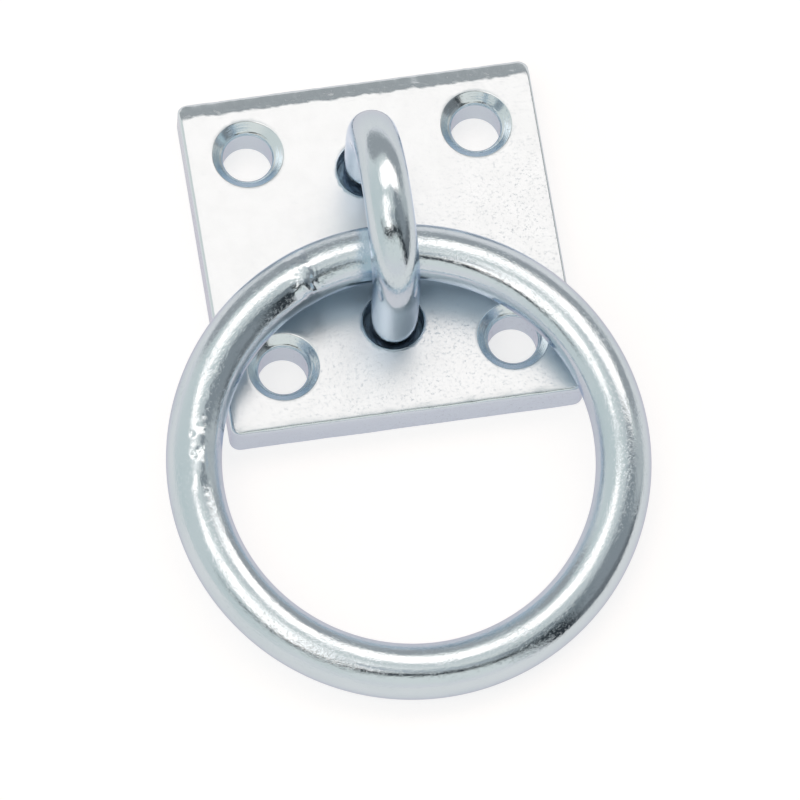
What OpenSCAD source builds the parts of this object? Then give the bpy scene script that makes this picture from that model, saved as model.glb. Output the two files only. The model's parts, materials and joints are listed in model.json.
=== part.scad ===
// Ring on plate: a square steel plate with four countersunk screw holes, a staple of round bar
// whose two legs stand through the plate, and a welded ring of round bar that swings in the staple.
//
// Frame: the origin is the middle of the plate's back face, which lies against a wall or a bench.
// +Z points out of the front face, +Y from the lower staple leg to the upper one.
// The ring lies in its rest position, laid over towards -Y with its far end on the plane z = 0.

/* [Plate] */
// Width of the plate, along X
plate_w = 50; // [46:0.5:60]
// Height of the plate, along Y
plate_h = 51; // [46:0.5:60]
// Thickness of the plate
plate_t = 6.3; // [5:0.1:8]
// Radius of the plate's four corners, seen from the front
corner_r = 1.5; // [0.8:0.1:4]
// Radius that runs along the front and back edges
edge_r = 0.6; // [0.2:0.1:0.8]

/* [Screw holes] */
// Distance between neighbouring screw holes, the same both ways
hole_pitch = 32.5; // [30:0.5:34]
// Diameter of a screw hole
hole_d = 7; // [5:0.1:7.5]
// Diameter of the countersink at the front face
sink_d = 10; // [8:0.1:11]
// Included angle of the countersink
sink_angle = 90; // [82:1:120]

/* [Staple] */
// Diameter of the staple's round bar
staple_d = 6.7; // [6:0.1:7.5]
// Distance between the middles of the two legs
leg_pitch = 23.3; // [22.6:0.1:24.5]
// Height of the arch's centre above the front face
arch_rise = 10.3; // [9:0.1:14]
// Diameter of the plate's two clearance holes for the legs
leg_hole_d = 8.6; // [8:0.1:9]

/* [Staple welds] */
// Diameter of the weld's recess at the back face
weld_d = 11; // [10:0.1:12]
// Depth of the weld, measured from the back face
weld_depth = 2.6; // [2:0.1:3.5]

/* [Ring] */
// Inside diameter of the ring
ring_id = 52; // [48:0.5:53]
// Diameter of the ring's round bar
ring_d = 7.8; // [7:0.1:8]
// Sideways place of the ring's middle, as it has slid in the staple
ring_shift = -1.4; // [-1.6:0.1:1.6]
// Angle between the ring and the plate at rest
ring_tilt = 9; // [9:0.5:14]
// Room between the ring's bar and the staple's lower leg
leg_gap = 0.35; // [0.2:0.05:1]

/* [Ring weld] */
// How far round the ring, from the staple, the bar's two ends meet
joint_angle = 21; // [15:1:40]
// Width of the weld bead along the bar
bead_w = 3.4; // [2:0.1:5]
// Height of the weld bead above the bar
bead_rise = 0.25; // [0.1:0.05:0.4]

/* [Hidden] */
$fn = 96;
// How far a cutting shape runs past the face that it cuts
through = 1;

// Screw holes
sink_depth = (sink_d - hole_d) / 2 / tan(sink_angle / 2);

// Staple
leg_y = leg_pitch / 2;
arch_r = leg_pitch / 2;
arch_z = plate_t + arch_rise;
// The weld's recess is a cone that ends at the wall of the clearance hole
recess_depth = (weld_d - leg_hole_d) / 2;

// Ring: it turns about the middle of its own bar, where the bar lies in the staple
ring_r = (ring_id + ring_d) / 2;
pivot_y = -leg_y + staple_d / 2 + leg_gap + ring_d / 2;
pivot_z = ring_d / 2 + 2 * ring_r * sin(ring_tilt);
// Angle of the ring that the weld bead takes up
bead_angle = bead_w / ring_r * 180 / PI;

STEEL_PLATE = [0.86, 0.88, 0.91];
STEEL_BAR = [0.72, 0.76, 0.82];
STEEL_RING = [0.66, 0.72, 0.78];
WELD = [0.55, 0.58, 0.62];

// A rectangle about the origin with rounded corners
module rounded_rect(w, h, r) {
    square([w - 2 * r, h], center = true);
    square([w, h - 2 * r], center = true);
    for (x = [-1, 1], y = [-1, 1])
        translate([x * (w / 2 - r), y * (h / 2 - r)])
            circle(r = r);
}

// The plate before it is drilled: three rounded outlines, one along each axis, and what they share
module plate_blank() {
    intersection() {
        linear_extrude(height = plate_t)
            rounded_rect(plate_w, plate_h, corner_r);
        translate([0, plate_h / 2, plate_t / 2])
            rotate([90, 0, 0])
                linear_extrude(height = plate_h)
                    rounded_rect(plate_w, plate_t, edge_r);
        translate([-plate_w / 2, 0, plate_t / 2])
            rotate([90, 0, 90])
                linear_extrude(height = plate_w)
                    rounded_rect(plate_h, plate_t, edge_r);
    }
}

// One screw hole, from the back face to the mouth of its countersink
module screw_hole() {
    flare = through * tan(sink_angle / 2);
    translate([0, 0, -through])
        cylinder(d = hole_d, h = plate_t + 2 * through);
    translate([0, 0, plate_t - sink_depth])
        cylinder(d1 = hole_d, d2 = sink_d + 2 * flare, h = sink_depth + through);
}

// One clearance hole for a staple leg, with the weld's recess at the back
module leg_hole() {
    translate([0, 0, -through])
        cylinder(d = leg_hole_d, h = plate_t + 2 * through);
    translate([0, 0, -through])
        cylinder(d1 = weld_d + 2 * through, d2 = leg_hole_d, h = recess_depth + through);
}

module mounting_plate() {
    color(STEEL_PLATE)
        difference() {
            plate_blank();
            for (x = [-1, 1], y = [-1, 1])
                translate([x * hole_pitch / 2, y * hole_pitch / 2, 0])
                    screw_hole();
            for (y = [-leg_y, leg_y])
                translate([0, y, 0])
                    leg_hole();
        }
}

// Round bar bent to a half circle on two straight legs, which end flush with the back face
module staple() {
    color(STEEL_BAR) {
        for (y = [-leg_y, leg_y])
            translate([0, y, 0])
                cylinder(d = staple_d, h = arch_z);
        translate([0, 0, arch_z])
            rotate([90, 0, 90])
                rotate_extrude(angle = 180)
                    translate([arch_r, 0])
                        circle(d = staple_d);
    }
}

// The weld that fills the back of a clearance hole round its leg, dressed flush with the back
module staple_weld() {
    difference() {
        union() {
            cylinder(d1 = weld_d, d2 = leg_hole_d, h = recess_depth);
            cylinder(d = leg_hole_d, h = weld_depth);
        }
        translate([0, 0, -through])
            cylinder(d = staple_d, h = weld_depth + 2 * through);
    }
}

module upper_staple_weld() {
    color(WELD)
        translate([0, leg_y, 0])
            staple_weld();
}

module lower_staple_weld() {
    color(WELD)
        translate([0, -leg_y, 0])
            staple_weld();
}

// Puts a shape that is drawn flat about the ring's middle, staple end towards +Y, at its place
module ring_at_rest() {
    translate([ring_shift, pivot_y, pivot_z])
        rotate([ring_tilt, 0, 0])
            translate([0, -ring_r, 0])
                children();
}

// A length of round bar bent to the ring's circle, from one angle on to the next
module bent_bar(d, from_angle, turn) {
    rotate([0, 0, from_angle])
        rotate_extrude(angle = turn)
            translate([ring_r, 0])
                circle(d = d);
}

module ring() {
    color(STEEL_RING)
        ring_at_rest()
            bent_bar(ring_d, 90 + joint_angle + bead_angle / 2, 360 - bead_angle);
}

// The butt weld that closes the ring, standing a little proud of the bar
module ring_weld() {
    color(WELD)
        ring_at_rest()
            bent_bar(ring_d + 2 * bead_rise, 90 + joint_angle - bead_angle / 2, bead_angle);
}

mounting_plate();
staple();
upper_staple_weld();
lower_staple_weld();
ring();
ring_weld();
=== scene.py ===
"""Ring on plate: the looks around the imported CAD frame.

Every piece is built in code from the frame's own boxes and mounts: the plate as one closed skin with
its six holes, the staple and the ring as swept round bars, and the welds as lumpy beads.
Lengths in this file are millimetres unless a name says otherwise; MM turns them into metres.
"""

import json
import math

import bpy
import numpy as np
from mathutils import Matrix, Vector, noise
from mathutils.geometry import delaunay_2d_cdt


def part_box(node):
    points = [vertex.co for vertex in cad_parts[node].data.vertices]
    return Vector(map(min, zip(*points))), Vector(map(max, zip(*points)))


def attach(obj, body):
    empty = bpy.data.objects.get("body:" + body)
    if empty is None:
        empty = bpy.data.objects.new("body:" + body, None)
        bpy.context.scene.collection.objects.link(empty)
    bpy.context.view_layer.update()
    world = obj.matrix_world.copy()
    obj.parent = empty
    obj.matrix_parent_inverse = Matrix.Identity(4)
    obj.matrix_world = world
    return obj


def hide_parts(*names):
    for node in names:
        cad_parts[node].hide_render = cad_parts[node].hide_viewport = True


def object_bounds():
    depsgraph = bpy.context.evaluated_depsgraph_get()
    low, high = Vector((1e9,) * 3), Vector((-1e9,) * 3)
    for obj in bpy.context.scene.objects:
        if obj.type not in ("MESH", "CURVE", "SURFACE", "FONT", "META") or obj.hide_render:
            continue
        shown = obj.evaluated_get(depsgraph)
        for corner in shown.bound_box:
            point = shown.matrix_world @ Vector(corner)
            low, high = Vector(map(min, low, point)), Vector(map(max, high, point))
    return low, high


MM = 0.001

# ---- sizes that the frame's boxes and mounts don't give -------------------------------------------
CORNER_R = 1.5  # plate corners, seen from the front
EDGE_R = 0.6  # round along the plate's edges
SINK_D = 10.0  # mouth of a countersink
LEG_HOLE_D = 8.6  # clearance hole for a staple leg
WELD_D = 11.0  # recess of a staple weld, at the back face
WELD_DEPTH = 2.6  # how far a staple weld reaches into its hole
WELD_CLIMB = 1.3  # how far it climbs up the leg in there
LEG_SPLAY = 0.35  # how far the lower leg leans out by the time it enters the plate
JOINT_ANGLE = 21.5  # degrees round the ring, from the staple to the ring's weld
BEAD_W = 3.4  # width of the ring's weld bead

# ---- camera and floor -----------------------------------------------------------------------------
CAM_AZIMUTH = -14.31  # degrees to the left of straight in front
CAM_ELEVATION = 68.1  # degrees above the floor
CAM_ROLL = 5.6  # degrees about its own axis
CAM_DISTANCE = 1.7397  # metres
CAM_LENS = 559.6
AIM_OFFSET = (1.06, -0.31)  # from the middle of the object's outline, on the floor
FLOOR_SIZE = 6.0  # metres
FLOOR_GAP = 0.02  # how far the floor lies below the object


# ---- small helpers --------------------------------------------------------------------------------
def smoothstep(low, high, x):
    """0 at low and beyond, 1 at high and beyond, smooth in between; low may be the larger one."""
    t = np.clip((np.asarray(x, float) - low) / (high - low), 0, 1)
    return t * t * (3 - 2 * t)


def perlin(points, scale, seed=0.0, octaves=2):
    """Perlin noise from about -1 to 1 at each of the points, whose cells are scale long on each axis."""
    shift = Vector((seed * 7.31, seed * 3.77, seed * 5.19))
    sx, sy, sz = scale
    flat = np.asarray(points, float).reshape(-1, 3)
    total = np.zeros(len(flat))
    for k in range(octaves):
        f = 2.0**k
        cells = [Vector((x * f / sx, y * f / sy, z * f / sz)) for x, y, z in flat]
        layer = [noise.noise(cell + shift * (k + 1)) for cell in cells]
        total += np.array(layer) / f
    return total.reshape(np.asarray(points).shape[:-1])


def new_object(name, verts_mm, faces, sharp_deg=38.0):
    """A smooth-shaded mesh object from points in millimetres."""
    mesh = bpy.data.meshes.new(name)
    mesh.from_pydata([tuple(v * MM) for v in np.asarray(verts_mm, float)], [], faces)
    mesh.validate()
    mesh.polygons.foreach_set("use_smooth", [True] * len(mesh.polygons))
    mesh.set_sharp_from_angle(angle=math.radians(sharp_deg))
    obj = bpy.data.objects.new(name, mesh)
    bpy.context.scene.collection.objects.link(obj)
    return obj


def store_numbers(obj, name, values):
    """Keeps one number per vertex as a named attribute, for the materials to read."""
    attribute = obj.data.attributes.new(name, "FLOAT", "POINT")
    attribute.data.foreach_set("value", np.asarray(values, np.float32).ravel())


def store_vectors(obj, name, values):
    """Keeps one vector per vertex as a named attribute, for the materials to read."""
    attribute = obj.data.attributes.new(name, "FLOAT_VECTOR", "POINT")
    attribute.data.foreach_set("vector", np.asarray(values, np.float32).ravel())


def grid_faces(rows, columns, closed_rows=False):
    """Quads between neighbouring rows of a grid whose columns run round in a circle."""
    faces = []
    for i in range(rows if closed_rows else rows - 1):
        a, b = i * columns, ((i + 1) % rows) * columns
        for j in range(columns):
            k = (j + 1) % columns
            faces.append((a + j, a + k, b + k, b + j))
    return faces


# ---- what the frame says --------------------------------------------------------------------------
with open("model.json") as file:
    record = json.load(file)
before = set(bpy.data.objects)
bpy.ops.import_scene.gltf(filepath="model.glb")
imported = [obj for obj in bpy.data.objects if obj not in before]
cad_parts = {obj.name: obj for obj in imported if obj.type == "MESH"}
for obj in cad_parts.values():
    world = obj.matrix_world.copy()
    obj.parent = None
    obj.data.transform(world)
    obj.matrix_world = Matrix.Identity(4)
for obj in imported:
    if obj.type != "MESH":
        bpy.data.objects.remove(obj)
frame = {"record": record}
cad_low, cad_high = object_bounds()
MOUNTS = {m["name"]: m for m in frame["record"]["mounts"]}


def box_mm(node):
    """A CAD node's box in millimetres."""
    low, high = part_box(node)
    return np.array(low) / MM, np.array(high) / MM


PLATE_LOW, PLATE_HIGH = box_mm("mounting_plate")
PLATE_W, PLATE_H, PLATE_T = PLATE_HIGH - PLATE_LOW
HOLE_PITCH = MOUNTS["screw_holes"]["dims"]["spacing_x_mm"]
HOLE_R = MOUNTS["screw_holes"]["dims"]["hole_r_mm"]

STAPLE_LOW, STAPLE_HIGH = box_mm("staple")
STAPLE_R = (STAPLE_HIGH[0] - STAPLE_LOW[0]) / 2
ARCH_R = (STAPLE_HIGH[1] - STAPLE_LOW[1]) / 2 - STAPLE_R
ARCH_Z = STAPLE_HIGH[2] - STAPLE_R - ARCH_R

RING_LOW, RING_HIGH = box_mm("ring")
RING_MID = np.array(MOUNTS["ring_eye"]["pos_m"]) / MM
RING_UP = np.array(MOUNTS["ring_eye"]["axis"])
RING_UP = RING_UP / np.linalg.norm(RING_UP)
RING_SIN = -RING_UP[1]
# Half the ring's width is its radius plus its bar's; its middle is one bar radius up the same slope
RING_HALF = (RING_HIGH[0] - RING_LOW[0]) / 2
RING_R = (RING_HALF - RING_MID[2]) / (1 - RING_SIN)
BAR_R = RING_HALF - RING_R


# ---- swept round bars -----------------------------------------------------------------------------
def swept_bar(name, middles, sides, ups, lengths, radii):
    """A round bar along a line. middles, sides and ups are a point and two unit vectors for each
    section, lengths is how far along the bar each one is, and radii is one radius per section and
    angle. The attribute "bar" keeps each vertex's place on the same bar drawn out straight."""
    rows, columns = radii.shape
    angles = np.linspace(0, 2 * np.pi, columns, endpoint=False)
    out = np.cos(angles)[None, :, None] * sides[:, None, :]
    out += np.sin(angles)[None, :, None] * ups[:, None, :]
    verts = (middles[:, None, :] + radii[:, :, None] * out).reshape(-1, 3)
    faces = grid_faces(rows, columns)
    straight = straight_bar(lengths, columns, float(radii.mean()))
    faces.append(tuple(range(columns)))
    faces.append(tuple(reversed(range((rows - 1) * columns, rows * columns))))
    obj = new_object(name, verts, faces)
    store_vectors(obj, "bar", straight.reshape(-1, 3))
    return obj


def straight_bar(lengths, columns, radius):
    """Places on a straight bar along Z: the sections' lengths by the angles round it."""
    angles = np.linspace(0, 2 * np.pi, columns, endpoint=False)
    grid = np.zeros((len(lengths), columns, 3))
    grid[..., 0] = radius * np.cos(angles)[None, :]
    grid[..., 1] = radius * np.sin(angles)[None, :]
    grid[..., 2] = np.asarray(lengths)[:, None]
    return grid


def bar_unevenness(straight, seed, height):
    """What rolling, drawing and bending leave: long shallow flats and waves along the bar."""
    long_waves = perlin(straight, (2.6, 2.6, 16.0), seed)
    short_waves = perlin(straight, (0.9, 0.9, 4.0), seed + 3.0)
    return height * long_waves + 0.25 * height * short_waves


# ---- ring -----------------------------------------------------------------------------------------
RING_SECTIONS = 760
RING_COLUMNS = 126
SHRINK = 0.01  # keeps the uneven bar inside its true size
END_GAP = 0.2 * BEAD_W  # from the weld's middle to where the ring's bar begins
CLOSER = 2.2  # how many times more sections there are near the weld and the clamp's mark
CLOSER_REACH = 13.0  # degrees round the ring
RING_WAVES = 0.016  # height of the bar's unevenness
# Where, in degrees round the ring, and how much the bar's top leans outwards
LEAN_ANGLE = 30.0
LEAN = 0.29
# Where a clamp held the bar for welding, in degrees round the ring
CLAMP_ANGLE = 168.5
CLAMP_CREST = 107.0  # degrees round the bar
CLAMP_FLANKS = (1.35, 0.45)  # how far the ridge spreads outwards and inwards from its crest
# The two stretches of the ridge: (place along the bar, half length, height)
CLAMP_RIDGES = [(0.8, 4.4, 0.09), (2.9, 2.3, 0.15)]
# Lumps and pits of the clamp's mark: (place along the bar, angle round the bar, size, height)
CLAMP_LUMPS = [
    (-5.2, 104.0, 0.35, -0.03),
    (-3.9, 101.0, 0.30, -0.04),
    (-3.0, 97.0, 0.38, 0.03),
    (-2.2, 96.0, 0.35, -0.05),
    (-0.7, 94.0, 1.15, 0.16),
    (-1.0, 83.0, 0.38, -0.12),
    (0.2, 78.0, 0.70, 0.06),
    (1.1, 98.0, 0.42, -0.18),
    (1.9, 89.0, 0.42, -0.16),
    (1.0, 107.0, 0.40, 0.06),
    (1.9, 77.0, 0.75, 0.08),
    (2.9, 97.0, 1.00, 0.13),
    (3.8, 80.0, 0.85, 0.09),
    (4.7, 93.0, 1.10, 0.13),
    (5.8, 86.0, 0.80, 0.06),
    (5.3, 105.0, 0.28, -0.04),
    (6.4, 102.0, 0.24, -0.03),
    (7.4, 105.0, 0.30, -0.03),
    (8.8, 103.0, 0.26, -0.02),
]
# Single pits elsewhere on the ring's bar: (angle round the ring, angle round the bar, size, depth)
PITS = [
    (148.0, 92.0, 0.35, 0.07),
    (152.5, 101.0, 0.25, 0.05),
    (155.5, 96.0, 0.25, 0.05),
    (143.0, 99.0, 0.20, 0.03),
    (298.0, 70.0, 0.25, 0.03),
    (12.0, 95.0, 0.20, 0.03),
    (331.0, 84.0, 0.20, 0.03),
]
# Where, in degrees round the bar, the dressed outside of the weld gives way to its rough top
ROUGH_OUTSIDE = (38, 60)
ROUGH_INSIDE = (158, 130)
ROUGH_REACH = 2.6  # how far the rough metal reaches to either side
BEAD_SINK = 0.006  # how far the bead's ends lie below the bar's skin
BEAD_CROWN = 0.009  # how much higher its middle lies
# The weld's lumps: (place across the bead, angle round the bar, size, height)
WELD_LUMPS = [
    (0.8, 120.0, 1.15, 0.24),
    (0.4, 104.0, 0.50, 0.07),
    (1.1, 100.0, 0.50, 0.07),
    (1.8, 95.0, 0.50, 0.07),
    (-0.6, 78.0, 0.90, 0.12),
    (-0.6, 127.0, 0.60, -0.16),
    (-1.5, 122.0, 0.35, -0.08),
    (-1.1, 106.0, 0.38, -0.08),
    (2.4, 110.0, 0.45, -0.10),
    (1.4, 60.0, 1.10, -0.07),
    (0.1, 205.0, 1.40, 0.08),
    (-0.2, 290.0, 1.40, 0.08),
]


def ring_section(angle_deg):
    """Middle, outward and upward directions of the ring's section at an angle from +X, in its plane."""
    across = np.array([1.0, 0.0, 0.0])
    along = np.cross(RING_UP, across)
    a = np.radians(np.asarray(angle_deg, float))[:, None]
    outward = np.cos(a) * across + np.sin(a) * along
    return RING_MID + RING_R * outward, outward, np.broadcast_to(RING_UP, outward.shape)


def ring_angles(start, end, marks):
    """Section angles round the ring, closer together near the marks."""
    even = np.linspace(start, end, 4000)
    density = 1 + sum(CLOSER * np.exp(-(((even - mark) / CLOSER_REACH) ** 2)) for mark in marks)
    share = np.cumsum(density)
    share = (share - share[0]) / (share[-1] - share[0])
    return np.interp(np.linspace(0, 1, RING_SECTIONS), share, even)


def lump_field(along, around_mm, lumps):
    """Sum of round lumps and pits: (along, around the bar in degrees, size, height) each."""
    total = np.zeros(np.broadcast(along, around_mm).shape)
    for place, around, size, height in lumps:
        d2 = (along - place) ** 2 + (around_mm - np.radians(around) * BAR_R) ** 2
        total += height * np.exp(-d2 / size**2)
    return total


def clamp_mark(along, around_mm, straight):
    """Where a clamp held the bar for welding: a squeezed-up ridge that leans outwards, steep behind,
    with lumps and pits in it and small tears beyond its ends."""
    across = around_mm - np.radians(CLAMP_CREST) * BAR_R
    crest = np.exp(-((across / np.where(across < 0, *CLAMP_FLANKS)) ** 2))
    ridge = sum(h * crest * np.exp(-(((along - place) / half) ** 4)) for place, half, h in CLAMP_RIDGES)
    beside = np.exp(-(((along - 0.6) / 7.5) ** 6) - ((across / 1.3) ** 4))
    torn = perlin(straight, (0.8, 0.8, 0.9), 11.0)
    return ridge + 0.022 * beside * torn + lump_field(along, around_mm, CLAMP_LUMPS)


def section_lean(angle_deg, around_mm):
    """Bending has leant the bar's top outwards in two opposite quarters of the ring."""
    turn = around_mm / BAR_R
    quarter = np.cos(np.radians(angle_deg - LEAN_ANGLE)) ** 2
    return -0.5 * LEAN * quarter * np.sin(2 * turn) * smoothstep(-0.1, 0.4, np.sin(turn))


def build_ring():
    """The ring's bar, from one side of the weld all the way round to the other."""
    weld = 90 + JOINT_ANGLE
    gap = np.degrees(END_GAP / RING_R)
    angles = ring_angles(weld + gap, weld + 360 - gap, (weld, weld + 360, CLAMP_ANGLE))
    middles, outward, up = ring_section(angles)
    lengths = np.radians(angles) * RING_R
    straight = straight_bar(lengths, RING_COLUMNS, BAR_R)
    around_mm = np.linspace(0, 2 * np.pi, RING_COLUMNS, endpoint=False)[None, :] * BAR_R
    radii = np.full((RING_SECTIONS, RING_COLUMNS), BAR_R) - SHRINK
    from_weld = np.minimum(angles - angles[0], angles[-1] - angles) + gap
    even = smoothstep(2.5, 9.0, from_weld)[:, None]
    radii += even * bar_unevenness(straight, 1.0, RING_WAVES)
    radii += section_lean(angles[:, None], around_mm)
    from_clamp = lengths[:, None] - np.radians(CLAMP_ANGLE) * RING_R
    radii += clamp_mark(from_clamp, around_mm, straight)
    for turn, around, size, depth in PITS:
        along = np.radians(angles % 360 - turn)[:, None] * RING_R
        radii += lump_field(along, around_mm, [(0.0, around, size, -depth)])
    for end, sign in ((angles[0], 1), (angles[-1], -1)):
        along = (np.radians(angles - end) * RING_R + sign * np.radians(gap) * RING_R)[:, None]
        radii += weld_relief(along, around_mm)
    ring = swept_bar("ring_bar", middles, outward, up, lengths, radii)
    across = around_mm - np.radians(90.0) * BAR_R
    store_numbers(ring, "worn", np.exp(-(((from_clamp - 1.4) / 5.2) ** 4) - ((across / 1.5) ** 4)))
    return ring


def weld_relief(along, around_mm):
    """The weld's shape, added to the bar's radius: dressed flush outside, and left rough on top, with
    a fat lump, a ridge across and torn metal beside it."""
    turn = np.degrees(around_mm / BAR_R)
    left_rough = 0.10 + 0.90 * smoothstep(*ROUGH_OUTSIDE, turn) * smoothstep(*ROUGH_INSIDE, turn)
    near = np.exp(-((along / ROUGH_REACH) ** 4))
    x, y = BAR_R * np.cos(around_mm / BAR_R), BAR_R * np.sin(around_mm / BAR_R)
    place = np.stack(np.broadcast_arrays(x, y, along), axis=-1)
    wanted = np.broadcast_to(near > 0.01, place.shape[:2])
    coarse = perlin(place[wanted], (1.3, 1.3, 1.1), 24.0)
    fine = perlin(place[wanted], (0.5, 0.5, 0.6), 25.0)
    torn = np.zeros(place.shape[:2])
    torn[wanted] = 0.045 * coarse + 0.016 * fine
    wander = 0.35 * np.sin(np.radians(turn) * 2.0 + 0.6)
    ridge = 0.09 * np.exp(-(((along - wander) / 1.1) ** 2))
    return near * left_rough * (torn + ridge) + lump_field(along, around_mm, WELD_LUMPS)


def build_ring_weld():
    """The butt weld: the stretch of bar between the two ends, as lumpy as weld metal is."""
    rows, columns = 72, 150
    weld = 90 + JOINT_ANGLE
    reach = 0.55 * BEAD_W
    offsets = np.linspace(-reach, reach, rows)
    middles, outward, up = ring_section(weld + np.degrees(offsets / RING_R))
    around_mm = np.linspace(0, 2 * np.pi, columns, endpoint=False)[None, :] * BAR_R
    ends = smoothstep(reach, 0.5 * reach, np.abs(offsets))[:, None]
    radii = BAR_R - SHRINK - BEAD_SINK + BEAD_CROWN * ends + weld_relief(offsets[:, None], around_mm)
    return swept_bar("ring_weld_bead", middles, outward, up, offsets, radii)


# ---- staple ---------------------------------------------------------------------------------------
STAPLE_COLUMNS = 88
STAPLE_WAVES = 0.020  # height of the bar's unevenness
ARCH_FLATS = (0.06, 0.03)  # how much bending has flattened the arch, outside and inside


def build_staple():
    """Round bar: up the lower leg, over the arch, and down the upper leg."""
    leg_rows, arch_rows = 90, 200
    leg_z = np.linspace(0, ARCH_Z, leg_rows, endpoint=False)
    turn = np.linspace(0, np.pi, arch_rows)
    lower_y = -ARCH_R - LEG_SPLAY * smoothstep(ARCH_Z, PLATE_T, leg_z)
    y = np.concatenate([lower_y, -ARCH_R * np.cos(turn), np.full(leg_rows, ARCH_R)])
    upper_z = ARCH_Z - ARCH_Z * np.arange(1, leg_rows + 1) / leg_rows
    z = np.concatenate([leg_z, ARCH_Z + ARCH_R * np.sin(turn), upper_z])
    flat_angle = np.concatenate([np.zeros(leg_rows), turn, np.full(leg_rows, np.pi)])
    middles = np.stack([np.zeros_like(y), y, z], axis=1)
    # sides points away from the arch's middle, ups along the swing axis
    sides = np.stack([np.zeros_like(y), -np.cos(flat_angle), np.sin(flat_angle)], axis=1)
    ups = np.broadcast_to(np.array([1.0, 0.0, 0.0]), sides.shape)
    lengths = np.concatenate([[0], np.cumsum(np.linalg.norm(np.diff(middles, axis=0), axis=1))])
    straight = straight_bar(lengths, STAPLE_COLUMNS, STAPLE_R)
    radii = np.full(straight.shape[:2], STAPLE_R) + bar_unevenness(straight, 6.0, STAPLE_WAVES)
    outward = np.cos(np.linspace(0, 2 * np.pi, STAPLE_COLUMNS, endpoint=False))[None, :]
    on_arch = smoothstep(0.15, 0.6, np.sin(flat_angle))[:, None]
    radii -= on_arch * outward**2 * np.where(outward > 0, *ARCH_FLATS)
    return swept_bar("staple_bar", middles, sides, ups, lengths, radii)


# ---- plate ----------------------------------------------------------------------------------------
CIRCLE_STEPS = 112
EDGE_STEP = 0.5  # between points along the outline
GRID_STEP = 0.5  # between points on the front face
BACK_STEP = 1.5  # between points on the back face
TOP_ROLL = 2.9  # how far in the sheared top edge is rolled over
TOP_SLOPE = 0.40  # how steeply it drops
TOP_TEARS = 0.045  # height of the torn metal on it
DENT_DEPTH = 0.07  # dents along the line where it begins to roll
FACE_WAVES = 0.010  # height of the front face's waves
NICK_DEPTH = 0.13  # nicks in the bottom edge
BURR_HEIGHT = 0.03  # ragged lips round the legs' holes
HOLE_LIP = 0.12  # small bevel at the mouth of each hole
CHATTER = 0.004  # depth of the rings that the cutter left down the countersinks
SINK_STEP = 0.10  # the small ledge near a countersink's bottom
EDGE_WAVES = 0.05  # how uneven the two cut edges are


def plate_outline(inset):
    """Points round the plate's rounded outline, anticlockwise from the front, moved in by inset."""
    half_w, half_h = PLATE_W / 2, PLATE_H / 2
    points = []
    for qx, qy, start in ((1, -1, -90), (1, 1, 0), (-1, 1, 90), (-1, -1, 180)):
        centre = np.array([qx * (half_w - CORNER_R), qy * (half_h - CORNER_R)])
        for a in np.radians(np.linspace(start, start + 90, 9)):
            points.append(centre + (CORNER_R - inset) * np.array([np.cos(a), np.sin(a)]))
        side = PLATE_H if qx * qy < 0 else PLATE_W
        steps = int((side - 2 * CORNER_R) / EDGE_STEP)
        corner = points[-1]
        ahead = np.array([-np.sin(np.radians(start + 90)), np.cos(np.radians(start + 90))])
        for k in range(1, steps):
            points.append(corner + ahead * (side - 2 * CORNER_R) * k / steps)
    return np.array(points)


def circle(centre, radius):
    """Points (x, y) round a circle."""
    a = np.linspace(0, 2 * np.pi, CIRCLE_STEPS, endpoint=False)
    return np.array(centre)[None, :] + radius * np.stack([np.cos(a), np.sin(a)], axis=1)


def plate_relief(points):
    """How far the plate's front face lies above its flat plane, at points (x, y)."""
    x, y = points[:, 0], points[:, 1]
    flat = np.stack([x, y, np.zeros_like(x)], axis=1)
    # The shear rolled the top edge over, a bit further in some places than in others
    from_top = PLATE_H / 2 - y
    ragged_roll = TOP_ROLL - 0.15 + 0.16 * perlin(flat, (3.0, 9.0, 1.0), 30.0)
    ragged_roll += 0.22 * perlin(flat, (0.9, 2.0, 1.0), 38.0, 3)
    into = np.clip(ragged_roll - from_top, 0, None)
    roll = -TOP_SLOPE * into**2 / (into + 0.14)
    torn = TOP_TEARS * smoothstep(0, 0.5, into) * perlin(flat, (0.6, 0.5, 1.0), 37.0)
    dents = -DENT_DEPTH * np.clip(perlin(flat, (0.7, 0.45, 1.0), 39.0) - 0.05, 0, 1)
    torn += dents * np.exp(-(((from_top - TOP_ROLL) / 0.8) ** 2))
    waves = FACE_WAVES * perlin(flat, (12.0, 12.0, 12.0), 31.0, 1)
    # Small nicks where the bottom edge was cut
    from_bottom = y + PLATE_H / 2
    nicks = np.clip(perlin(flat, (1.5, 0.7, 1.0), 33.0, 3) + 0.05, 0, 1)
    ragged = -NICK_DEPTH * nicks * np.exp(-((from_bottom / 0.55) ** 2))
    lips = np.zeros_like(x)
    for leg in (-ARCH_R, ARCH_R):
        r = np.hypot(x, y - leg)
        burr = np.clip(0.3 + 0.8 * perlin(flat, (0.9, 0.9, 0.9), 34.0 + leg), 0, 1)
        lips += BURR_HEIGHT * burr * np.exp(-(((r - LEG_HOLE_D / 2 - 0.2) / 0.3) ** 2))
    return roll + torn + waves + ragged + lips


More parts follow.
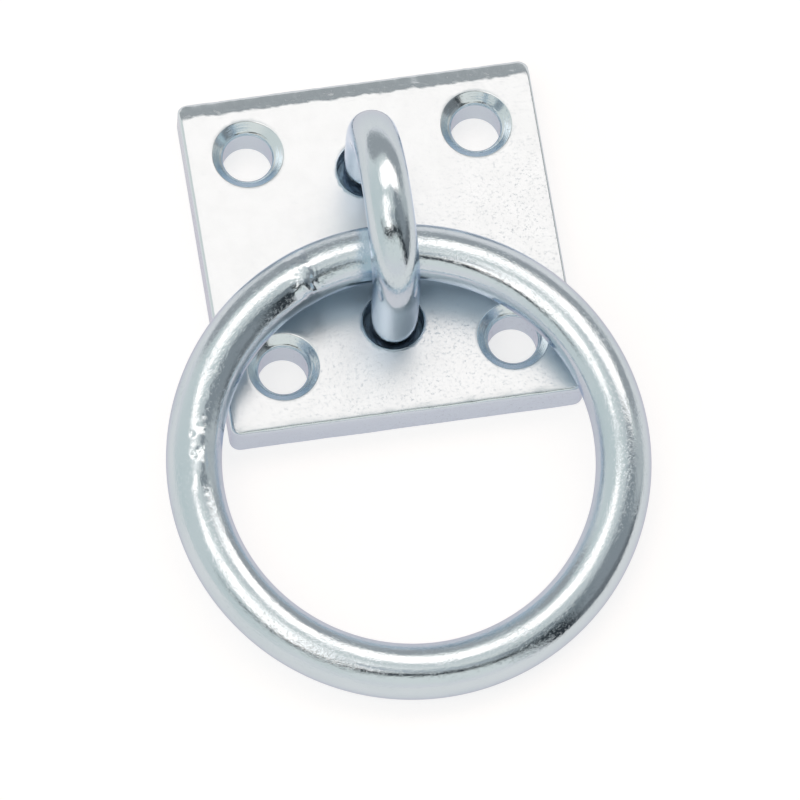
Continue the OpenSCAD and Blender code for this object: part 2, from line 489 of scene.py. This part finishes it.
def fill_points(outline, holes, step):
    """Points inside an outline and clear of its holes, closest together under the rolled top edge."""
    low, high = outline.min(0), outline.max(0)
    margin = 0.45 * step
    points = []
    for i, x in enumerate(np.arange(low[0] + 0.7 * step, high[0] - margin, 0.6 * step)):
        rows = np.arange(low[1] + step * (0.7 + 0.5 * (i % 2)), high[1] - TOP_ROLL - step, step)
        top_rows = np.arange(high[1] - TOP_ROLL - 0.4 * step * (i % 2), high[1] - margin, 0.4 * step)
        for y in np.concatenate([rows, top_rows]):
            past_edge = np.maximum(np.abs([x, y]) - (high - CORNER_R), 0)
            by_edge = np.hypot(*past_edge) > CORNER_R - EDGE_R - margin
            by_hole = any(np.hypot(x - c[0], y - c[1]) < r + margin for c, r in holes)
            if not by_edge and not by_hole:
                points.append(np.array([x, y]))
    return points


def flat_fill(outline, holes, step):
    """Triangles that fill an outline round its holes, (centre, radius) each. The first points are the
    outline's and the holes' own, in that order."""
    loops = [outline, *(circle(centre, radius) for centre, radius in holes)]
    points = [point for loop in loops for point in loop]
    edges, start = [], 0
    for loop in loops:
        edges += [(start + i, start + (i + 1) % len(loop)) for i in range(len(loop))]
        start += len(loop)
    points += fill_points(outline, holes, step)
    flat = [Vector((float(x), float(y))) for x, y in points]
    verts, _, faces, sources, _, _ = delaunay_2d_cdt(flat, edges, [], 0, 1e-5, True)
    # Each new vertex goes back to the number of the point that it came from
    source = {k: numbers[0] for k, numbers in enumerate(sources) if numbers}
    kept = []
    for face in faces:
        middle = sum((verts[k] for k in face), Vector((0, 0))) / 3
        if not any(math.hypot(middle.x - c[0], middle.y - c[1]) < r * 0.999 for c, r in holes):
            kept.append(tuple(source[k] for k in face))
    return np.array(points), kept


def wall_faces(loop_a, loop_b):
    """Quads between two loops of vertex numbers; b lies behind a."""
    n = len(loop_a)
    return [(loop_a[i], loop_b[i], loop_b[(i + 1) % n], loop_a[(i + 1) % n]) for i in range(n)]


class PlateSkin:
    """The plate's skin as it is put together, from two flat faces and the walls between their rims."""

    def __init__(self):
        self.verts, self.faces = [], []

    def add_loop(self, points, z):
        """Adds points at one height and gives their vertex numbers."""
        first = len(self.verts)
        self.verts.extend(np.array([x, y, z]) for x, y in points)
        return list(range(first, first + len(points)))

    def add_flat(self, holes, z, step, looks_back):
        """Adds a flat face with holes in it and gives its rim and the holes' rims."""
        outline = plate_outline(EDGE_R)
        points, triangles = flat_fill(outline, holes, step)
        numbers = self.add_loop(points, z)
        for triangle in triangles:
            face = [numbers[k] for k in triangle]
            self.faces.append(tuple(reversed(face)) if looks_back else tuple(face))
        starts = [len(outline) + k * CIRCLE_STEPS for k in range(len(holes))]
        return numbers[: len(outline)], [numbers[k : k + CIRCLE_STEPS] for k in starts]

    def add_wall(self, front, loops, back, looks_in=False):
        """Joins a front rim to a back rim through the loops between them, (points, z) each."""
        rims = [front, *(self.add_loop(points, z) for points, z in loops), back]
        for before, behind in zip(rims, rims[1:]):
            self.faces += wall_faces(behind, before) if looks_in else wall_faces(before, behind)


def edge_profile():
    """The plate's edge from front to back, round, straight and round again: (inset, z) of each loop."""
    turns = np.radians([15, 30, 45, 60, 75, 90])
    rounded = [(EDGE_R * (1 - math.sin(a)), EDGE_R * (1 - math.cos(a))) for a in turns]
    front = [(inset, PLATE_T - drop) for inset, drop in rounded]
    wall = [(0.0, z) for z in np.linspace(PLATE_T - EDGE_R, EDGE_R, 12)[1:-1]]
    return front + wall + rounded[::-1]


def screw_hole_profile(number):
    """A countersunk hole from front to back: (radius, z) of each loop."""
    sink_r = SINK_D / 2
    depth = sink_r - HOLE_R
    top = PLATE_T - 0.4 * HOLE_LIP
    profile = [(sink_r, top)]
    for down in np.linspace(0, 1, 22)[1:]:
        rings = CHATTER * math.sin(down * (26 + 3 * number)) * math.sin(math.pi * down)
        rings -= SINK_STEP * math.exp(-(((down - 0.80) / 0.07) ** 2))
        profile.append((sink_r - depth * down + rings, top - depth * down))
    return profile + [(HOLE_R, z) for z in np.linspace(PLATE_T - depth - 0.2, 0.15, 6)]


def leg_hole_profile():
    """A staple leg's hole from front to back, wider where the weld goes: (radius, z) of each loop."""
    leg_r = LEG_HOLE_D / 2
    recess = WELD_D / 2 - leg_r
    profile = [(leg_r, PLATE_T - 0.7 * HOLE_LIP)]
    profile += [(leg_r, z) for z in np.linspace(PLATE_T - 0.5, recess, 10)]
    return profile + [(leg_r + recess * share, recess * (1 - share)) for share in (0.33, 0.66)]


def build_plate():
    """One closed skin: front face, rounded edges, walls, back face and the six holes."""
    screws = [(sx * HOLE_PITCH / 2, sy * HOLE_PITCH / 2) for sx in (-1, 1) for sy in (-1, 1)]
    legs = [(0.0, -ARCH_R), (0.0, ARCH_R)]
    front_holes = [(c, SINK_D / 2 + HOLE_LIP) for c in screws]
    front_holes += [(c, LEG_HOLE_D / 2 + HOLE_LIP) for c in legs]
    back_holes = [(c, HOLE_R) for c in screws] + [(c, WELD_D / 2) for c in legs]
    skin = PlateSkin()
    front_rim, front_mouths = skin.add_flat(front_holes, PLATE_T, GRID_STEP, False)
    back_rim, back_mouths = skin.add_flat(back_holes, 0.0, BACK_STEP, True)
    edge = [(plate_outline(inset), z) for inset, z in edge_profile()]
    skin.add_wall(front_rim, edge, back_rim)
    profiles = [screw_hole_profile(k) for k in range(len(screws))] + [leg_hole_profile()] * len(legs)
    for centre, profile, front, back in zip(screws + legs, profiles, front_mouths, back_mouths):
        loops = [(circle(centre, radius), z) for radius, z in profile]
        skin.add_wall(front, loops, back, looks_in=True)

    verts = np.array(skin.verts)
    share = smoothstep(0.45 * PLATE_T, PLATE_T, verts[:, 2])
    lifted = share * plate_relief(verts[:, :2])
    # The two cut edges, top and bottom, are a bit wavy
    waves = EDGE_WAVES * (perlin(verts, (6.0, 6.0, 2.0), 36.0) - 0.6)
    on_rim = smoothstep(EDGE_R + 0.1, 0.0, PLATE_H / 2 - np.abs(verts[:, 1]))
    verts[:, 2] += lifted
    verts[:, 1] += on_rim * waves * np.sign(verts[:, 1])
    return new_object("plate_body", verts, skin.faces, sharp_deg=45.0)


FILLET_CURVE = 1.6  # how hollow the fillet's slope is
FILLET_LUMPS = 0.12
DRESSED_LUMPS = 0.004


def build_staple_weld(name, leg_y, seed):
    """A weld behind the plate: it fills the recess, is dressed flat at the back, and climbs the leg in
    a lumpy fillet inside the hole. Its inner side lies within the leg, even where that leans."""
    columns = 96
    inner = STAPLE_R - LEG_SPLAY - 0.06
    wall = LEG_HOLE_D / 2 + 0.04
    outer = WELD_D / 2 - 0.02
    recess = (WELD_D - LEG_HOLE_D) / 2
    section = [(inner, 0.01), (inner, WELD_DEPTH + WELD_CLIMB)]
    for s in np.linspace(0.1, 0.9, 9):
        section.append((inner + (wall - inner) * s, WELD_DEPTH + WELD_CLIMB * (1 - s) ** FILLET_CURVE))
    section += [(wall, WELD_DEPTH - 0.2), (wall, recess), (outer, 0.03), (outer - 0.1, 0.005)]
    section += [(inner + (outer - inner) * s, 0.004) for s in np.linspace(0.9, 0.1, 9)]
    turn = np.linspace(0, 2 * np.pi, columns, endpoint=False)
    verts = []
    for r, z in section:
        ring = np.stack([r * np.cos(turn), leg_y + r * np.sin(turn), np.full(columns, z)], axis=1)
        lumps = perlin(ring, (1.1, 1.1, 1.1), seed, 3)
        ring[:, 2] += lumps * (FILLET_LUMPS if z > WELD_DEPTH - 0.15 else DRESSED_LUMPS)
        verts.append(ring)
    faces = grid_faces(len(section), columns, closed_rows=True)
    return new_object(name, np.concatenate(verts), faces)


# ---- materials ------------------------------------------------------------------------------------
ZINC = (0.68, 0.78, 0.86)
ZINC_CLOUDED = (0.646, 0.7566, 0.8342)
ZINC_DULL_AND_PIT_SHADE = (0.54, 0.64, 0.74)  # darker zinc: painted shade in the bars' small pits; elsewhere dull patches, marks and scuffs
ZINC_GLANCING = (0.80, 0.82, 0.90)
# The plate's zinc in copies by the way a surface faces: painted shade darkens the upward face, and
# painted light brightens the walls and the sloped surfaces such as the countersinks
PLATE_TOP_SHADED = (0.645, 0.725, 0.79)
PLATE_SIDES_LIT = (0.74, 0.85, 0.93)
PLATE_SLOPES_LIT = (0.75, 0.845, 0.905)
FACE_CLOUDED = 0.97  # share of the face's colour that is left in its duller patches
FACE_TILT = (0.90, 0.985)  # the normal's Z where the face begins, and where it is all face
EDGE_SHINE, FACE_SHINE = 0.15, 0.31  # roughness


class Nodes:
    """Builds one node tree. Most calls add a node and give back its first output."""

    def __init__(self, tree):
        tree.nodes.clear()
        self.tree = tree

    def add(self, kind, settings=None, **inputs):
        """Adds a node. An input's key is its name, with _ for a space, or i and its number."""
        node = self.tree.nodes.new(kind)
        for key, value in (settings or {}).items():
            setattr(node, key, value)
        for key, value in inputs.items():
            numbered = key[0] == "i" and key[1:].isdigit()
            socket = node.inputs[int(key[1:]) if numbered else key.replace("_", " ")]
            if isinstance(value, bpy.types.NodeSocket):
                self.tree.links.new(value, socket)
            else:
                socket.default_value = value
        return node

    def math(self, operation, a, b=0.0, clamp=False):
        settings = {"operation": operation, "use_clamp": clamp}
        return self.add("ShaderNodeMath", settings, i0=a, i1=b).outputs[0]

    def vector(self, operation, a, b=(0, 0, 0)):
        """Adds vector maths and gives back the node, whose outputs are a vector and a number."""
        return self.add("ShaderNodeVectorMath", {"operation": operation}, i0=a, i1=b)

    def ramp(self, value, low, high, to_low=0.0, to_high=1.0):
        settings = {"interpolation_type": "SMOOTHSTEP"}
        ends = {"i1": low, "i2": high, "i3": to_low, "i4": to_high}
        return self.add("ShaderNodeMapRange", settings, i0=value, **ends).outputs[0]

    def mix(self, factor, a, b):
        return self.add("ShaderNodeMix", {"data_type": "RGBA"}, i0=factor, i6=a, i7=b).outputs[2]

    def noise(self, place, cells, detail, roughness):
        """Noise with so many cells to a unit of length."""
        settings = {"Scale": cells, "Detail": detail, "Roughness": roughness}
        return self.add("ShaderNodeTexNoise", None, Vector=place, **settings).outputs[0]

    def drawn_noise(self, place, cells, detail, roughness):
        """Noise with its own number of cells along each axis."""
        return self.noise(self.vector("MULTIPLY", place, cells).outputs[0], 1.0, detail, roughness)

    def attribute(self, name, output):
        return self.add("ShaderNodeAttribute", {"attribute_name": name}).outputs[output]

    def object_mm(self):
        """Places on the object in millimetres."""
        place = self.vector("SCALE", self.add("ShaderNodeTexCoord").outputs["Object"])
        place.inputs["Scale"].default_value = 1 / MM
        return place.outputs[0]

    def apart(self, vector):
        """The three numbers of a vector."""
        return self.add("ShaderNodeSeparateXYZ", None, Vector=vector).outputs

    def bump(self, height, strength, depth_mm, **normal):
        settings = {"Height": height, "Strength": strength, "Distance": depth_mm * MM}
        return self.add("ShaderNodeBump", None, **settings, **normal).outputs[0]


def rgba(r, g, b):
    """A colour as a socket takes it."""
    return (r, g, b, 1.0)


def new_material(name):
    """A material and the builder for its nodes."""
    material = bpy.data.materials.new(name)
    material.use_nodes = True
    return material, Nodes(material.node_tree)


def zinc_surface(n, colour, roughness, normal):
    """The shader that every zinc material ends in."""
    looks = {"Base_Color": colour, "Roughness": roughness, "Metallic": 1.0, "Normal": normal}
    shader = n.add("ShaderNodeBsdfPrincipled", None, **looks)
    shader.inputs["Specular Tint"].default_value = rgba(*ZINC_GLANCING)
    n.add("ShaderNodeOutputMaterial", None, Surface=shader.outputs[0])


def bar_zinc(name, roughness, texture, seed):
    """Bright zinc on drawn bar: ragged lines along the bar, soft mottling and small specks.
    texture scales how deep the lines and specks are."""
    material, n = new_material(name)
    place = n.vector("ADD", n.attribute("bar", "Vector"), (seed, seed * 2, seed * 3)).outputs[0]
    lines = n.drawn_noise(place, (3.4, 3.4, 1.5), 4.0, 0.6)
    grain = n.drawn_noise(place, (6.0, 6.0, 5.0), 3.0, 0.65)
    specks = n.drawn_noise(place, (3.2, 3.2, 2.2), 5.0, 0.7)
    cloud = n.drawn_noise(place, (0.35, 0.35, 0.12), 3.0, 0.5)
    colour = n.mix(n.ramp(cloud, 0.35, 0.7), rgba(*ZINC), rgba(*ZINC_CLOUDED))
    # Painted shade: the colour darkens in the small pits that the specks' bump digs below the skin
    colour = n.mix(n.ramp(specks, 0.62, 0.76, 0.0, 0.55), colour, rgba(*ZINC_DULL_AND_PIT_SHADE))
    clouded = n.ramp(cloud, 0.3, 0.75, roughness * 0.8, roughness * 1.3)
    rough = n.math("ADD", clouded, n.ramp(specks, 0.5, 0.75, 0.0, 0.08))
    # Rougher where the clamp has worn the ring; other bars have no such attribute, which reads as 0
    rough = n.math("ADD", rough, n.math("MULTIPLY", n.attribute("worn", "Fac"), 0.14))
    # The texture is strong in some stretches and faint in others
    strength = n.ramp(cloud, 0.42, 0.62, 0.40, 1.0)
    normal = n.bump(lines, strength, 0.040 * texture)
    normal = n.bump(grain, strength, 0.011 * texture, Normal=normal)
    pits = n.ramp(specks, 0.54, 0.64, 1.0, 0.0)
    normal = n.bump(pits, strength, 0.0075 * texture, Normal=normal)
    zinc_surface(n, colour, rough, normal)
    return material


def plate_zinc(name):
    """Bright zinc on rolled flat bar: a satin, faintly mottled face with small marks and scuffs, and
    shinier sheared edges and drilled holes. Its colour is darker on the upward face and lighter on the
    edges and in the holes, as painted shade and painted light."""
    material, n = new_material(name)
    mm = n.object_mm()
    grain = n.noise(mm, 2.2, 5.0, 0.66)
    fine = n.noise(mm, 7.0, 3.0, 0.6)
    cloud = n.noise(mm, 0.30, 4.0, 0.55)
    marks = n.drawn_noise(mm, (0.9, 2.4, 2.0), 5.0, 0.75)
    specks = n.drawn_noise(mm, (2.0, 2.6, 2.2), 6.0, 0.80)
    facing = n.apart(n.add("ShaderNodeNewGeometry").outputs["Normal"])["Z"]
    clouded = rgba(*(FACE_CLOUDED * c for c in PLATE_TOP_SHADED))
    face = n.mix(n.ramp(cloud, 0.35, 0.68), rgba(*PLATE_TOP_SHADED), clouded)
    # Painted light and shade: walls and slopes take a lighter copy of the zinc, the upward face a darker
    # one
    walls_and_slopes_lit = n.mix(n.ramp(facing, 0.2, 0.6), rgba(*PLATE_SIDES_LIT), rgba(*PLATE_SLOPES_LIT))
    colour = n.mix(n.ramp(facing, *FACE_TILT), walls_and_slopes_lit, face)
    colour = n.mix(n.ramp(marks, 0.66, 0.78, 0.0, 0.4), colour, rgba(*ZINC_DULL_AND_PIT_SHADE))
    # The scuffs are thicker towards the lower right corner
    x, y, _ = n.apart(mm)
    corner = n.ramp(n.math("SUBTRACT", x, y), -25.0, 30.0, 0.25, 1.0)
    scuffs = n.math("MULTIPLY", n.ramp(specks, 0.55, 0.66), corner)
    colour = n.mix(n.math("MULTIPLY", scuffs, 0.40), colour, rgba(*ZINC_DULL_AND_PIT_SHADE))
    satin = n.ramp(facing, *FACE_TILT, EDGE_SHINE, FACE_SHINE)
    rough = n.math("ADD", satin, n.ramp(marks, 0.58, 0.75, 0.0, 0.12))
    normal = n.bump(grain, 0.5, 0.022)
    normal = n.bump(fine, 0.35, 0.008, Normal=normal)
    normal = n.bump(scuffs, 0.8, -0.010, Normal=normal)
    zinc_surface(n, colour, rough, normal)
    return material


def weld_zinc(name, roughness, on_bar):
    """Zinc on weld metal: the same bright coat on small smooth lumps, darker in patches that lie at
    random. It is laid out along the bar, or else in the plate's own millimetres."""
    material, n = new_material(name)
    place = n.attribute("bar", "Vector") if on_bar else n.object_mm()
    grain = n.noise(place, 2.0, 4.0, 0.6)
    patch = n.noise(place, 0.8, 4.0, 0.6)
    colour = n.mix(n.ramp(patch, 0.48, 0.72), rgba(*ZINC), rgba(*ZINC_DULL_AND_PIT_SHADE))
    rough = n.ramp(grain, 0.35, 0.7, roughness, roughness + 0.12)
    zinc_surface(n, colour, rough, n.bump(grain, 0.6, 0.05))
    return material


# ---- the pieces, their bodies and their finish ----------------------------------------------------
def place_piece(piece, body, node, material):
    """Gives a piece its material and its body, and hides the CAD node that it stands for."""
    piece.data.materials.append(material)
    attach(piece, body)
    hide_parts(node)


ring_zinc = bar_zinc("ring_zinc", 0.045, 1.0, 1.0)
staple_zinc = bar_zinc("staple_zinc", 0.040, 0.7, 5.0)
plate_finish = plate_zinc("plate_zinc")
bead_zinc = weld_zinc("ring_weld_zinc", 0.07, True)
back_weld_zinc = weld_zinc("staple_weld_zinc", 0.40, False)

place_piece(build_plate(), "plate", "mounting_plate", plate_finish)
place_piece(build_staple(), "plate", "staple", staple_zinc)
for side, sign in (("upper", 1), ("lower", -1)):
    weld = build_staple_weld(f"{side}_staple_weld_bead", sign * ARCH_R, 41.0 + sign)
    place_piece(weld, "plate", f"{side}_staple_weld", back_weld_zinc)
place_piece(build_ring(), "swing_ring", "ring", ring_zinc)
place_piece(build_ring_weld(), "swing_ring", "ring_weld", bead_zinc)


# ---- studio ---------------------------------------------------------------------------------------
def direction(azimuth, elevation):
    """A direction: azimuth clockwise from +Y, seen from above, and elevation above the floor."""
    a, e = math.radians(azimuth), math.radians(elevation)
    return Vector((math.sin(a) * math.cos(e), math.cos(a) * math.cos(e), math.sin(e)))


# The light tent round the object: its own light, and patches on it, each laid over the ones before.
# A patch is from, to (azimuth, elevation), radius and softness in degrees, and its light.
TENT_SIDES = (0.83, 0.81, 0.75)
TENT_LOW = (0.84, 0.78, 0.76)
TENT_SEEN = (1.0, 1.0, 1.0)  # to the camera
WINDOW = (1.75, 1.53, 1.39)
TENT = [
    ((-100, 5), (-80, 55), 32, 14.0, (0.71, 0.72, 0.68)),
    ((-24, 21), (62, 19), 19, 4.0, (0.40, 0.395, 0.39)),
    ((-31, 66), (8, 66), 13, 2.0, WINDOW),
    ((8, 66), (33, 58), 12.5, 2.0, WINDOW),
    ((33, 58), (63, 49), 14.5, 2.0, WINDOW),
    ((-126, 68), (-139, 62), 14.5, 2.5, WINDOW),
    ((-139, 66), (-152, 72), 7.5, 2.5, WINDOW),
    ((85, 76), (100, 66), 9, 4.0, (0.68, 0.67, 0.64)),
    ((94, 46), (88, 4), 8, 5.0, (0.55, 0.54, 0.52)),
    ((105, 54), (122, 4), 16, 4.0, (0.30, 0.31, 0.315)),
    ((104, 8), (128, 12), 9, 4.0, (0.18, 0.185, 0.19)),
    ((198, 68), (152, 60), 5.5, 2.5, (0.50, 0.51, 0.51)),
    ((138, 60), (141, 30), 8, 3.0, (0.22, 0.235, 0.24)),
    ((143, 44), (138, 6), 6.5, 2.5, (0.04, 0.045, 0.05)),
    ((-112, 34), (-128, 36), 2.8, 1.6, (0.14, 0.15, 0.15)),
    ((-128, 36), (-153, 44), 4.2, 1.6, (0.05, 0.055, 0.06)),
    ((-153, 44), (175, 53), 5.4, 1.6, (0.04, 0.045, 0.05)),
    ((175, 53), (148, 42), 4.6, 1.4, (0.04, 0.045, 0.05)),
]


def patch_mask(n, sky, start, end, radius, softness):
    """1 on the sky near the line from one direction to another, 0 away from it."""
    a, b = direction(*start), direction(*end)
    run = b - a
    from_start = n.vector("SUBTRACT", sky, tuple(a)).outputs[0]
    along = n.vector("DOT_PRODUCT", from_start, tuple(run / run.length_squared))
    share = n.math("ADD", along.outputs["Value"], 0.0, clamp=True)
    settings = {"operation": "MULTIPLY_ADD"}
    nearest = n.add("ShaderNodeVectorMath", settings, i0=tuple(run), i1=share, i2=tuple(a))
    away = n.vector("DISTANCE", sky, nearest.outputs[0]).outputs["Value"]
    return n.ramp(away, math.radians(radius - softness), math.radians(radius + softness), 1.0, 0.0)


def build_tent():
    """World light: a pale tent with big soft windows overhead, and darker things in front and to the
    right."""
    world = bpy.data.worlds.new("light_tent")
    bpy.context.scene.world = world
    world.use_nodes = True
    n = Nodes(world.node_tree)
    sky = n.vector("NORMALIZE", n.add("ShaderNodeTexCoord").outputs["Generated"]).outputs[0]
    height = n.apart(sky)["Z"]
    colour = n.mix(n.ramp(height, 0.05, 0.45), rgba(*TENT_LOW), rgba(*TENT_SIDES))
    for start, end, radius, softness, light in TENT:
        colour = n.mix(patch_mask(n, sky, start, end, radius, softness), colour, rgba(*light))
    seen = n.add("ShaderNodeLightPath").outputs["Is Camera Ray"]
    colour = n.mix(seen, colour, rgba(*TENT_SEEN))
    background = n.add("ShaderNodeBackground", None, Color=colour, Strength=1.0)
    n.add("ShaderNodeOutputWorld", None, Surface=background.outputs[0])


# The table's glow and its white, to the camera and as the object mirrors it. What it mirrors is a
# little pinker close to the object than further out.
GLOW_SEEN = (0.70, 0.70, 0.70)
GLOW_NEAR = (0.57, 0.52, 0.515)
GLOW_FAR = (0.645, 0.607, 0.562)
NEAR_TO_FAR = (0.034, 0.056)  # metres from the object's middle
WHITE_SEEN = (0.44, 0.435, 0.44)
WHITE_MIRRORED = (0.30, 0.29, 0.30)


def build_floor():
    """A pale, softly lit table that shows only from above."""
    half = FLOOR_SIZE / 2
    corners = [(-half, -half), (half, -half), (half, half), (-half, half)]
    mesh = bpy.data.meshes.new("floor")
    mesh.from_pydata([(x, y, cad_low.z - FLOOR_GAP * MM) for x, y in corners], [], [(0, 1, 2, 3)])
    floor = bpy.data.objects.new("floor", mesh)
    bpy.context.scene.collection.objects.link(floor)
    material, n = new_material("table")
    seen = n.add("ShaderNodeLightPath").outputs["Is Camera Ray"]
    place = n.add("ShaderNodeTexCoord").outputs["Object"]
    away = n.vector("DISTANCE", place, (0.0, (cad_low.y + cad_high.y) / 2, 0.0)).outputs["Value"]
    mirrored = n.mix(n.ramp(away, *NEAR_TO_FAR), rgba(*GLOW_NEAR), rgba(*GLOW_FAR))
    light = n.mix(seen, mirrored, rgba(*GLOW_SEEN))
    white = n.mix(seen, rgba(*WHITE_MIRRORED), rgba(*WHITE_SEEN))
    glow = n.add("ShaderNodeEmission", None, Color=light, Strength=1.0)
    matt = n.add("ShaderNodeBsdfDiffuse", None, Color=white)
    lit = n.add("ShaderNodeAddShader", None, i0=glow.outputs[0], i1=matt.outputs[0])
    clear = n.add("ShaderNodeBsdfTransparent")
    below = n.add("ShaderNodeNewGeometry").outputs["Backfacing"]
    both = n.add("ShaderNodeMixShader", None, i0=below, i1=lit.outputs[0], i2=clear.outputs[0])
    n.add("ShaderNodeOutputMaterial", None, Surface=both.outputs[0])
    mesh.materials.append(material)


def build_camera():
    """A long lens, high over the front left, turned a little about its own axis."""
    middle = (cad_low + cad_high) / 2
    aim = Vector((middle.x + AIM_OFFSET[0] * MM, middle.y + AIM_OFFSET[1] * MM, cad_low.z))
    back = direction(180 - CAM_AZIMUTH, CAM_ELEVATION)
    data = bpy.data.cameras.new("camera")
    data.lens = CAM_LENS
    data.clip_start, data.clip_end = 0.1, 20.0
    camera = bpy.data.objects.new("camera", data)
    bpy.context.scene.collection.objects.link(camera)
    roll = Matrix.Rotation(math.radians(CAM_ROLL), 3, "Z")
    turn = (-back).to_track_quat("-Z", "Y").to_matrix() @ roll
    camera.matrix_world = Matrix.LocRotScale(aim + back * CAM_DISTANCE, turn.to_quaternion(), None)
    bpy.context.scene.camera = camera


build_tent()
build_floor()
build_camera()
bpy.context.scene.view_settings.view_transform = "Standard"
